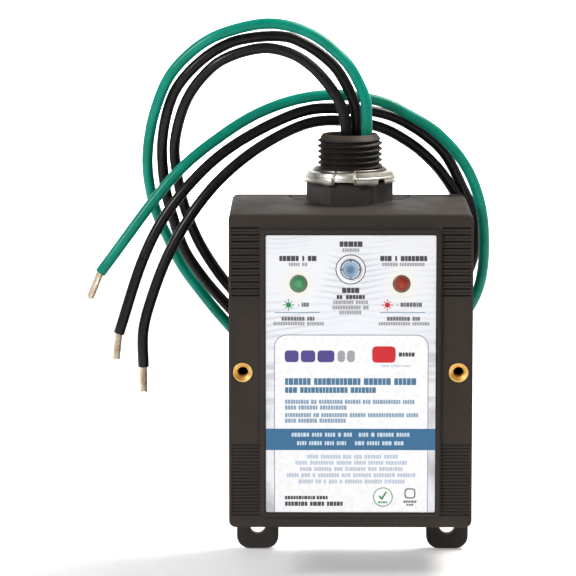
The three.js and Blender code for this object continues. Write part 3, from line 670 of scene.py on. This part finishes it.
def make_housing():
    shell = slab(body_outline, FRONT, REAR, 0.8, 0.15, steps=5)
    rim = slab(lambda inset: rounded_rect(-BEZEL["x"] + inset, BEZEL["x"] - inset, BEZEL["low"] + inset,
                                          BEZEL["high"] - inset, BEZEL["radius"] - inset),
               BEZEL["front"], FRONT + 1, 0.95, steps=6)
    shell = combined(shell, [rim], "UNION")
    gap, through, roof = 0.3, (BEZEL["front"] - 1, FRONT + WALL + 1), (TOP - WALL - 1, TOP + 1)
    cuts = [
        slab(lambda inset: rounded_rect(-LABEL["x"] - gap, LABEL["x"] + gap, LABEL["low"] - gap,
                                        LABEL["high"] + gap, 0.8), BEZEL["front"] - 1, RECESS_FLOOR),
        slab(lambda inset: body_outline(WALL), FRONT + WALL, REAR + 1),
        loft([[(x, y, z) for x, y in tongue_plan(0)] for z in roof]),
        drum_z(THREAD["crest"], *roof),
        drum_y(BUTTON["hole"], *through, BUTTON["x"], BUTTON["z"]),
        *[drum_y(LAMP["hole"], *through, x, LAMP["z"]) for x in LAMPS.values()],
    ]
    socket = INSERT["radius"] + 0.22
    for side in (-1, 1):
        cuts.append(drum_y(socket, FRONT - 1, FRONT + WALL + 1, side * INSERT["x"], INSERT["z"]))
        cuts += [groove_cutters(side, UPPER_RIBS), groove_cutters(side, LOWER_RIBS)]
    shell = softened(combined(shell, cuts, "DIFFERENCE"), 0.07)
    piece("housing_shell", shell, PLASTIC, replaces=["front_housing"])


def ear_outline(x):
    half = EAR["half"]
    return lambda inset: rounded_rect(x - half + inset, x + half - inset, EAR["low"] + inset, BOTTOM + 8,
                                      EAR["radius"] - inset, 1.0)


def make_cover():
    plate = slab(body_outline, COVER_FRONT, COVER_BACK, 0.3, 0.6)
    joined = [slab(ear_outline(x), COVER_FRONT, COVER_BACK, 0.5, 0.6) for x in EARS]
    tongue = loft([[(x, min(y, COVER_BACK - 1.5), z) for x, y in tongue_plan(TONGUE["gap"])]
                   for z in (TOP - WALL, TOP - 0.02)])
    joined.append(tongue)
    cuts = [drum_z(THREAD["crest"], TOP - WALL - 1, TOP + 1)]
    cuts += [drum_y(EAR["hole_r"], COVER_FRONT - 1, COVER_BACK + 1, x, EAR["hole_z"]) for x in EARS]
    cuts += [drum_y(COUNTERBORE["radius"], COVER_BACK - COUNTERBORE["depth"], COVER_BACK + 1, x, z)
             for x, z in COVER_SCREWS]
    plate = combined(combined(plate, joined, "UNION"), cuts, "DIFFERENCE")
    piece("cover_plate", softened(plate, 0.12), PLASTIC, replaces=["rear_cover"])


def make_cover_screws():
    """Pan heads with a cross recess, each sunk in its counterbore."""
    back, seat, radius, shank = COVER_BACK - 0.2, COVER_BACK - 2.1, 2.95, 1.4
    arm, half = 1.6, 0.28
    quarter = [(arm, -half), (arm, half), (half, half)]
    turns = ((1, 0), (0, 1), (-1, 0), (0, -1))
    cross = [(u * c - v * s, u * s + v * c) for c, s in turns for u, v in quarter]
    for number, (x, z) in enumerate(COVER_SCREWS, 1):
        head = turned_y([(shank, 1.5), (shank, seat), (radius, seat), (radius, back - 0.7),
                         (radius - 0.25, back - 0.25), (radius - 1.0, back), (0.9, back + 0.04)], x, z, 48)
        recess = loft([[(x + u, y, z + v) for u, v in cross] for y in (back - 1.1, back + 1)])
        head = softened(combined(head, [recess], "DIFFERENCE"), 0.04, 1)
        piece(f"cover_screw_head_{number}", head, STEEL, replaces=[f"cover_screw_{number}"])


make_housing()
make_cover()
make_cover_screws()

# -------------------- nipple, locknut and seals

COLUMNS = 240


def hex_radius(angle, flats, corner):
    """The radius of a hexagon with one flat towards -Y, whose corners are turned down to a round."""
    sector = math.pi / 3
    local = (angle + math.pi / 2 + sector / 2) % sector - sector / 2
    flat = flats / 2 / math.cos(local)
    blend = 0.035
    return -blend * math.log(math.exp((corner - flat) / blend) + 1) + corner


def thread_radius(angle, z):
    """A right-hand V thread, faded out at the foot and chamfered at the mouth."""
    phase = ((z + THREAD["lead_in"]) / THREAD["pitch"] - angle / TAU) % 1
    root_flat, flank = 0.06, 0.86
    wave = min(max((abs(2 * phase - 1) - root_flat) / flank, 0), 1)
    depth = THREAD["crest"] - THREAD["root"]
    radius = THREAD["root"] + depth * wave
    foot = THREAD["root"] + depth * min(max((z - THREAD["start"]) / THREAD["fade"], 0), 1)
    mouth = MOUTH["rim"] + MOUTH["slope"] * (MOUTH["top"] - z)
    return min(radius, foot, mouth)


def make_nipple():
    """One closed skin: up the neck, over the round foot and the hex, up the thread and down the bore."""
    angles = [TAU * i / COLUMNS for i in range(COLUMNS)]
    low, outer, lip, web = FOOT["low"], FOOT["radius"], FOOT["lip"], FOOT["web"]
    neck, neck_low = NECK["radius"], NECK["low"]
    flats, corner = HEX["flats"], HEX["corner"]
    sections = [(lambda a, r=r: r, z) for r, z in (
        (neck - 0.3, neck_low), (neck, neck_low + 0.3), (neck, web), (lip, web), (lip, low + 0.1),
        (lip + 0.1, low), (outer - 0.1, low), (outer, low + 0.06), (outer - 0.04, HEX["low"]))]
    for inset, z in ((0.0, HEX["low"] + 0.06), (0.0, -0.34), (0.08, -0.12), (0.3, 0.0)):
        sections.append((lambda a, inset=inset: hex_radius(a, flats - 2 * inset, corner - inset), z))
    rise = THREAD["pitch"] / 16
    steps = int(MOUTH["top"] / rise)
    sections += [(lambda a, z=k * rise: thread_radius(a, z), k * rise) for k in range(steps + 1)]
    sections += [(lambda a: MOUTH["rim"] - 0.1, MOUTH["top"]), (lambda a: BORE + 0.3, MOUTH["top"]),
                 (lambda a: BORE, MOUTH["top"] - 0.35), (lambda a: BORE, NECK["low"])]
    rings = [[(radius(a) * math.cos(a), radius(a) * math.sin(a), z) for a in angles]
             for radius, z in sections]
    piece("nipple_body", loft(rings, torus=True), NIPPLE_PLASTIC,
          replaces=["conduit_nipple"], sharp=38)


def window(degrees, start, end, edge):
    """1 between two angles in degrees, falling smoothly to 0 over edge on both sides."""
    middle, half = (start + end) / 2, (end - start) / 2
    away = abs((degrees - middle + 180) % 360 - 180)
    t = min(max((half + edge / 2 - away) / edge, 0), 1)
    return t * t * (3 - 2 * t)


# The nut's pattern round its rim, in degrees from the front: one wide hollow, then five narrow notches.
NUT_PITCH = 360 / 7
NUT_HOLLOW = {"middle": -8.2, "half": 12.6, "ridge": 14.4}
NUT_NOTCHES = [NUT_HOLLOW["middle"] + NUT_PITCH * k for k in range(1, 6)]


def make_locknut():
    """A low collar over a conical top and a square rim, whose lugs are pressed down past the hex."""
    bore, low, top, rim = NUT["bore"], NUT["low"], NUT["top"], NUT["rim"]
    collar = [(bore, low + 1.0), (bore, top - 0.5), (bore + 0.2, top - 0.15), (bore + 0.45, top),
              (11.8, top - 0.02), (12.0, top - 0.25)]
    lug = [*collar, (12.1, top - 0.75), (12.75, top - 0.8), (13.95, 3.1), (14.3, 2.3), (14.42, 1.98),
           (rim - 0.12, 1.88), (rim, 1.7), (rim, low + 0.15), (rim - 0.12, low), (14.45, low),
           (14.35, low + 0.35), (13.0, low + 0.4)]
    dip = [*collar, (12.1, top - 0.7), (13.3, top - 0.8), (13.55, 3.2), (14.2, 1.75), (14.2, 1.6),
           (14.4, 1.5), (14.45, 1.35), (14.45, low + 0.35), (14.3, low + 0.25), (14.0, low + 0.25),
           (13.9, low + 0.4), (13.0, low + 0.4)]
    first_ridge, last_ridge, band, rim_low, rim_under = 6, 11, 12, 13, 15
    middle, half, apart = NUT_HOLLOW["middle"], NUT_HOLLOW["half"], NUT_HOLLOW["ridge"]
    rings = []
    for j, (on_lug, in_dip) in enumerate(zip(lug, dip)):
        ring = []
        for i in range(2 * COLUMNS):
            degrees = 360 * i / (2 * COLUMNS)
            front = degrees + 90
            share = window(front, middle - half, middle + half, 1.2)
            r = on_lug[0] + (in_dip[0] - on_lug[0]) * share
            z = on_lug[1] + (in_dip[1] - on_lug[1]) * share
            if first_ridge <= j <= band:
                ridges = [window(front, middle + side * apart - 1.2, middle + side * apart + 1.2, 1.6)
                          for side in (-1, 1)]
                r += (0.35 if j <= last_ridge else 0.1) * max(ridges)
            if j >= band:
                notch = max(window(front, at - 5.5, at + 5.5, 1.2) for at in NUT_NOTCHES)
                z += notch * (0.1 if j == band else 0.95)
                if rim_low <= j <= rim_under:
                    corner = max(window(front, at - 3, at + 3, 16) for at in range(-150, 180, 60))
                    z -= (0.6 + 0.65 * corner) * (1 - notch) * (1 - share)
            ring.append((r * math.cos(math.radians(degrees)), r * math.sin(math.radians(degrees)), z))
        rings.append(ring)
    piece("locknut_casting", loft(rings, torus=True), ZINC, body="locknut",
          replaces=["locknut"], sharp=50)


def flat_seal(inner, outer, low, high):
    """A flat ring with broken edges."""
    lip = 0.15
    return turned_z([(inner + lip, low), (outer - lip, low), (outer, low + lip), (outer, high - lip),
                     (outer - lip, high), (inner + lip, high), (inner, high - lip), (inner, low + lip)])


def make_seals():
    piece("washer_ring", flat_seal(*WASHER), RUBBER, body="sealing_washer",
          replaces=["sealing_washer"])
    piece("gasket_ring", flat_seal(*GASKET), RUBBER, replaces=["nipple_gasket"])
    dish = [(0.01, -13.0), (7.7, -13.0), (7.9, -12.8), (7.95, 13.0), (7.7, 12.85), (6.8, 12.65), (0.01, 12.6)]
    piece("plug_casting", turned_z(dish, 96, torus=False), POTTING,
          replaces=["lead_seal_plug"])


make_nipple()
make_locknut()
make_seals()

# -------------------- lamps, button and inserts


def make_lamps():
    flange, radius, z = FLANGE_FRONT, LAMP["radius"], LAMP["z"]
    skirt, pin, pin_end = radius + 0.4, 0.25, -23.5
    for (name, x), material in zip(LAMPS.items(), (GREEN_LENS, RED_LENS)):
        dome = [(max(radius * math.sin(a), 0.01), LAMP["tip"] + LAMP["rise"] * (1 - math.cos(a)))
                for a in (math.pi / 2 * k / 16 for k in range(17))]
        profile = [*dome, (radius, flange), (skirt, flange), (skirt, flange + 1), (0.01, flange + 1)]
        pins = [block((x + d - pin, x + d + pin), (flange + 0.9, pin_end), (z - pin, z + pin))
                for d in (-LAMP["pin_gap"], LAMP["pin_gap"])]
        lamp = merged([turned_y(profile, x, z), *pins])
        piece(f"{name}_lamp_lens", lamp, material, replaces=[f"{name}_led"])


def make_button():
    """A stepped cap with a dished face, its flange behind the front wall and a stem to the switch."""
    front, flange, radius = BUTTON["front"], FLANGE_FRONT, BUTTON["radius"]
    flange_r, stem_r, flange_back = BUTTON["flange"], BUTTON["stem"], flange + 1.2
    face = [(0.01, 0.38), (0.8, 0.36), (1.1, 0.28), (1.7, 0.28), (1.85, 0.22), (2.3, 0.2), (2.45, 0.05),
            (2.6, 0.0), (radius - 0.2, 0.0), (radius - 0.05, 0.06), (radius, 0.22)]
    profile = [*((r, front + depth) for r, depth in face), (radius, flange), (flange_r, flange),
               (flange_r, flange_back), (stem_r, flange_back), (stem_r, SWITCH_FRONT), (0.01, SWITCH_FRONT)]
    cap = turned_y(profile, BUTTON["x"], BUTTON["z"], 96)
    ticks, tick_ring = [], 2.85
    for k in range(4):
        a = math.pi / 2 * k
        x, z = BUTTON["x"] + tick_ring * math.cos(a), BUTTON["z"] + tick_ring * math.sin(a)
        wide, high = (0.3, 0.24) if k % 2 == 0 else (0.24, 0.3)
        ticks.append(block((x - wide, x + wide), (front - 0.04, front + 0.4), (z - high, z + high)))
    piece("button_cap", cap, BUTTON_FACE, body="silence_button",
          replaces=["silence_button"])
    piece("button_ticks", merged(ticks), INKS["navy"], body="silence_button")


def make_inserts():
    """A brass bush with a coned mouth and a fine thread down its bore."""
    rear, radius, bore, mouth = FRONT + INSERT["length"], INSERT["radius"], INSERT["bore"], INSERT["mouth"]
    pitch, depth = 0.7, 0.28
    thread = []
    for k in range(int((INSERT["length"] - 1.4) / pitch)):
        y = FRONT + 1.0 + k * pitch
        thread += [(bore, y), (bore + depth, y + pitch / 2)]
    profile = [(radius - 0.12, FRONT), (radius, FRONT + 0.12), (radius, rear), (bore + 0.1, rear),
               *reversed(thread), (bore + 0.12, FRONT + 0.85), (mouth, FRONT + 0.08), (mouth + 0.08, FRONT)]
    for name, side in (("left", -1), ("right", 1)):
        bush = turned_y(profile, side * INSERT["x"], INSERT["z"], 72, torus=True)
        piece(f"{name}_insert_bush", bush, BRASS, replaces=[f"brass_insert_{name}"])


make_lamps()
make_button()
make_inserts()

# -------------------- label and its print


def make_label():
    edge, low, high = LABEL["x"], LABEL["low"], LABEL["high"]
    plate = slab(lambda inset: rounded_rect(-edge + inset, edge - inset, low + inset, high - inset,
                                            0.6 - inset), LABEL["front"], LABEL["back"], 0.04)
    before, behind = -39, -36
    holes = [drum_y(LAMP["hole"], before, behind, x, LAMP["z"]) for x in LAMPS.values()]
    holes.append(drum_y(BUTTON["hole"], before, behind, BUTTON["x"], BUTTON["z"]))
    piece("label_sheet", combined(plate, holes, "DIFFERENCE"), FILM, replaces=["label_overlay"])


class Print:
    """Thin closed prisms of ink that stand on the label, gathered by ink."""

    sunk = 0.06

    def __init__(self):
        self.shapes = {}
        self.draw = random.Random(7)

    def prism(self, ink_name, outline, height=0.035):
        face, root = LABEL["front"] - height, LABEL["front"] + self.sunk
        rings = [[(x, y, z) for x, z in outline] for y in (face, root)]
        self.shapes.setdefault(ink_name, []).append(loft(rings))

    def bar(self, ink_name, x0, x1, z, high, height=0.035, corner=0.12):
        corner = min(corner, high / 2.2, (x1 - x0) / 2.2)
        self.prism(ink_name, rounded_rect(x0, x1, z - high / 2, z + high / 2, corner, steps=2), height)

    def ring(self, ink_name, x, z, outer, inner, height=0.035):
        face, root = LABEL["front"] - height, LABEL["front"] + self.sunk
        rings = [[(x + a, y, z + b) for a, b in circle(r, 72)]
                 for r, y in ((outer, face), (outer, root), (inner, root), (inner, face))]
        self.shapes.setdefault(ink_name, []).append(loft(rings, torus=True))

    def disc(self, ink_name, x, z, radius):
        self.prism(ink_name, [(x + a, z + b) for a, b in circle(radius, 32)])

    def stroke(self, ink_name, start, end, wide):
        (x0, z0), (x1, z1) = start, end
        length = math.hypot(x1 - x0, z1 - z0)
        dx, dz = (x1 - x0) / length * wide / 2, (z1 - z0) / length * wide / 2
        self.prism(ink_name, [(x0 - dz, z0 + dx), (x0 + dz, z0 - dx), (x1 + dz, z1 - dx), (x1 - dz, z1 + dx)])

    def starburst(self, ink_name, x, z):
        """A disc with eight rays, long and short in turn."""
        near, tips = 1.0, (1.85, 1.55)
        self.disc(ink_name, x, z, 0.85)
        for k in range(8):
            far, across, up = tips[k % 2], math.cos(TAU * k / 8), math.sin(TAU * k / 8)
            self.stroke(ink_name, (x + near * across, z + near * up), (x + far * across, z + far * up), 0.28)

    def line(self, ink_name, x0, x1, z, high, block, words=(1,), space=1.0, gap=0.15, height=0.035):
        """A line of dummy text: words of plain blocks about this wide, their lengths in proportion."""
        room = x1 - x0 - space * (len(words) - 1)
        x = x0
        for share in words:
            end = x + room * share / sum(words)
            count = max(1, round((end - x) / block))
            cuts = [0.0, *sorted((k + self.draw.uniform(-0.18, 0.18)) / count for k in range(1, count)), 1.0]
            for a, b in zip(cuts, cuts[1:]):
                left, right = x + (end - x) * a, x + (end - x) * b
                self.bar(ink_name, left + gap / 2, right - gap / 2, z, high, height)
            x = end + space

    def lines(self, *rows):
        for row in rows:
            self.line(*row)

    def place(self):
        for ink_name, shapes in self.shapes.items():
            piece(f"label_print_{ink_name}", merged(shapes), INKS[ink_name])


def print_indicators(p):
    """The upper half: captions round the lamps and the button."""
    button = BUTTON["x"], BUTTON["z"]
    p.ring("black", *button, 4.8, 4.5)
    p.ring("white", *button, 4.5, BUTTON["hole"] + 0.05, 0.02)
    p.lines(
        ("black", -3.7, 3.7, -16.4, 1.7, 1.45),
        ("grey", -2.8, 2.7, -18.3, 1.1, 0.8),
        ("black", -22.8, -10.9, -21.0, 1.65, 1.3, (6.6, 0.8, 3.0)),
        ("grey", -19.8, -13.8, -22.9, 1.1, 0.8, (4, 2), 0.6),
        ("black", 9.2, 24.2, -21.0, 1.65, 1.25, (3.9, 0.8, 8.9)),
        ("grey", 9.8, 23.4, -22.9, 1.1, 0.8, (5, 8), 0.5),
        ("black", -2.9, 2.7, -31.2, 1.7, 1.4),
        ("black", -4.6, 4.5, -33.35, 1.3, 0.95, (2, 6.3)),
        ("grey", -5.7, 5.5, -35.05, 1.15, 0.8, (6.5, 4), 0.6),
        ("grey", -5.9, 5.7, -36.7, 1.15, 0.8, (9.5, 2), 0.6),
        ("grey", -3.7, 3.4, -38.3, 1.15, 0.8))
    for ink_name, x, wide in (("green", -19.8, 3.4), ("red", 11.6, 7.9)):
        p.starburst(ink_name, x, -35.9)
        p.bar("grey", x + 2.9, x + 3.5, -35.7, 0.2)
        p.bar("grey", x + 2.9, x + 3.5, -36.1, 0.2)
        p.line("ash", x + 4.1, x + 3.1 + wide, -35.8, 1.35, 0.95)
    for x in (-17.0, 16.5):
        p.bar("slate", x - 7.2, x + 7.2, -38.3, 0.3)
        p.line("ash", x - 5.1, x + 5.5, -40.3, 1.25, 0.9, (7.3, 2.4), 0.7)
        p.line("grey", x - 7.7, x + 8.5, -41.9, 1.1, 0.8, (10, 5.5), 0.6)


def print_panel(p):
    """The lower half: a white panel, a blue band across it and rows of dummy text."""
    left, right, top, low = -24.1, 24.5, -45.7, LABEL["low"] + 0.1
    p.prism("outline", rounded_rect(left - 0.3, right + 0.3, low, top + 0.3, 0.3, 3.9), 0.012)
    p.prism("white", rounded_rect(left, right, low, top, 0.3, 3.6), 0.02)
    for x0, x1 in ((-21.0, -16.6), (-15.9, -11.3), (-10.6, -5.2)):
        p.bar("violet", x0, x1, -52.4, 3.8, corner=0.9)
    for x0, x1 in ((-4.2, -1.8), (-1.2, 1.3)):
        p.bar("grey", x0, x1, -52.4, 3.8, corner=1.0)
    p.bar("red", 6.8, 14.3, -51.8, 5.3, corner=1.2)
    p.lines(
        ("black", 15.2, 20.4, -51.8, 1.3, 1.1),
        ("pale", 9.8, 18.9, -55.5, 0.6, 0.7, (3, 4, 3), 0.4),
        ("title", -21.0, 20.9, -60.55, 2.2, 1.4, (8.4, 15.1, 8.8, 7.2), 0.95),
        ("title", -21.0, 8.1, -63.3, 1.85, 1.2, (4.0, 15.3, 8.2), 0.85),
        ("slate", -21.0, 20.4, -67.1, 1.35, 0.85, (6, 1.5, 6, 4, 2, 7, 3), 0.6),
        ("slate", -21.0, -1.2, -68.95, 1.35, 0.85, (3, 5, 7), 0.6),
        ("slate", -21.0, 21.6, -71.4, 1.35, 0.85, (6.5, 1.5, 6.5, 4, 9, 3), 0.6),
        ("slate", -21.0, -1.5, -73.2, 1.35, 0.85, (3, 5, 7), 0.6))
    p.prism("band", rounded_rect(-LABEL["x"] + 0.05, LABEL["x"] - 0.05, -82.75, -75.8, 0.05), 0.028)
    for z, x0, x1, words in ((-77.75, -18.9, 0.5, (5, 3, 3, 1, 2.4)), (-77.75, 2.5, 18.9, (3, 1.2, 5, 4)),
                             (-80.5, -17.2, -1.3, (3, 4, 3, 3)), (-80.5, 1.3, 17.0, (3, 4, 3, 3))):
        p.line("frost", x0, x1, z, 1.3, 0.9, words, 0.7, 0.22, 0.045)
    for z, x0, x1, words in (
            (-84.9, -13.9, 15.2, (4, 7, 3, 3, 6, 5)), (-86.85, -17.7, 18.1, (4, 8, 5, 4, 5, 7)),
            (-88.9, -16.2, 16.7, (4, 6, 3, 7, 3, 8)), (-90.9, -20.4, 20.8, (4, 3, 1, 7, 3, 6, 7, 6)),
            (-92.95, -16.6, 17.4, (5, 2, 1, 3, 1, 6, 6, 7))):
        p.line("pale", x0, x1, z, 1.3, 0.85, words, 0.7)
    p.line("black", -21.0, -7.2, -98.2, 1.1, 0.9, (8.5, 3.2), 0.3)
    p.line("black", -21.0, -2.4, -100.2, 1.4, 1.05, (7, 4.5, 5), 0.7)
    p.ring("green", 10.4, -98.0, 3.15, 2.86)
    p.stroke("green", (9.2, -97.6), (10.15, -98.7), 0.55)
    p.stroke("green", (9.95, -98.75), (11.5, -96.3), 0.55)
    p.line("green", 8.8, 11.9, -99.7, 0.6, 0.8)
    p.bar("black", 17.3, 20.8, -96.8, 3.3, corner=0.9)
    p.bar("white", 17.7, 20.4, -96.8, 2.5, height=0.05, corner=0.6)
    p.line("ash", 16.9, 21.2, -99.5, 0.75, 0.8)
    p.line("ash", 17.9, 20.2, -100.5, 0.65, 0.7)


make_label()
artwork = Print()
print_indicators(artwork)
print_panel(artwork)
artwork.place()

# -------------------- carried-over nodes

FINISHES = {
    "cover_gasket": RUBBER, "retaining_nut": NIPPLE_PLASTIC, "circuit_board": LAMINATE,
    "tactile_switch": BLACK_PART, "piezo_buzzer": BLACK_PART, "filter_capacitor": BLACK_PART,
    "varistor": EPOXY, "gas_discharge_tube": CERAMIC, "thermal_fuse": CERAMIC, "led_resistor": CERAMIC,
    "board_screw": STEEL, "terminal": STEEL, "green_inner_lead": GREEN_JACKET,
    "black_a_inner_lead": BLACK_JACKET, "black_b_inner_lead": BLACK_JACKET,
}
for node_name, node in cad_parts.items():
    for part_of_name, material in FINISHES.items():
        if part_of_name in node_name:
            node.data.materials.clear()
            node.data.materials.append(material)

# -------------------- studio


def make_floor():
    """A pale sheet that lies under the object and curves up behind it."""
    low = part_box("rear_cover")[0].z - 0.0004
    near, reach, bend, wide, high = -9.0, 1.3, 0.7, 8.0, 3.0
    line = [(near, 0.0), (reach, 0.0)]
    line += [(reach + bend * math.sin(a), bend * (1 - math.cos(a)))
             for a in (math.pi / 2 * k / 16 for k in range(1, 17))]
    line.append((reach + bend, high))
    verts = [(x, y, low + z) for y, z in line for x in (-wide, wide)]
    faces = [(2 * i, 2 * i + 1, 2 * i + 3, 2 * i + 2) for i in range(len(line) - 1)]
    mesh = bpy.data.meshes.new("floor")
    mesh.from_pydata(verts, [], faces)
    mesh.polygons.foreach_set("use_smooth", [True] * len(faces))
    n = Nodes("studio_paper")
    paper = n.mix(n.mottle(3, 3, 0.3, 0.7), srgb(226, 226, 226), srgb(222, 222, 223))
    n.put(paper, n.shader.inputs["Emission Color"])
    mesh.materials.append(n.finish(paper, 0.9, Emission_Strength=0.42))
    floor = placed("floor", mesh)


def area_light(name, place, target, size, power, spread=180, colour=(1, 1, 1)):
    data = bpy.data.lights.new(name, "AREA")
    data.color = colour
    data.shape, data.size, data.size_y = "RECTANGLE", *size
    data.energy, data.spread = power, math.radians(spread)
    light = placed(name, data)
    light.location = place
    light.rotation_euler = (Vector(target) - Vector(place)).to_track_quat("-Z", "Y").to_euler()


def make_studio():
    middle = (0.0, -0.01, -0.05)
    world = bpy.data.worlds.new("studio")
    world.use_nodes = True
    background = world.node_tree.nodes["Background"].inputs
    background["Color"].default_value = (1, 1, 1, 1)
    background["Strength"].default_value = 0.23
    bpy.context.scene.world = world
    area_light("key", (-0.95, -0.85, 0.7), middle, (0.35, 0.35), 13.0)
    area_light("overhead", (0.36, 0.15, 0.62), middle, (0.4, 0.35), 8.5, colour=(1.0, 0.95, 0.89))
    area_light("backdrop", (0.0, 1.5, 1.3), (0.0, 1.5, -0.12), (2.4, 1.0), 40, spread=80)
    bpy.context.scene.view_settings.view_transform = "Standard"


make_floor()
make_studio()
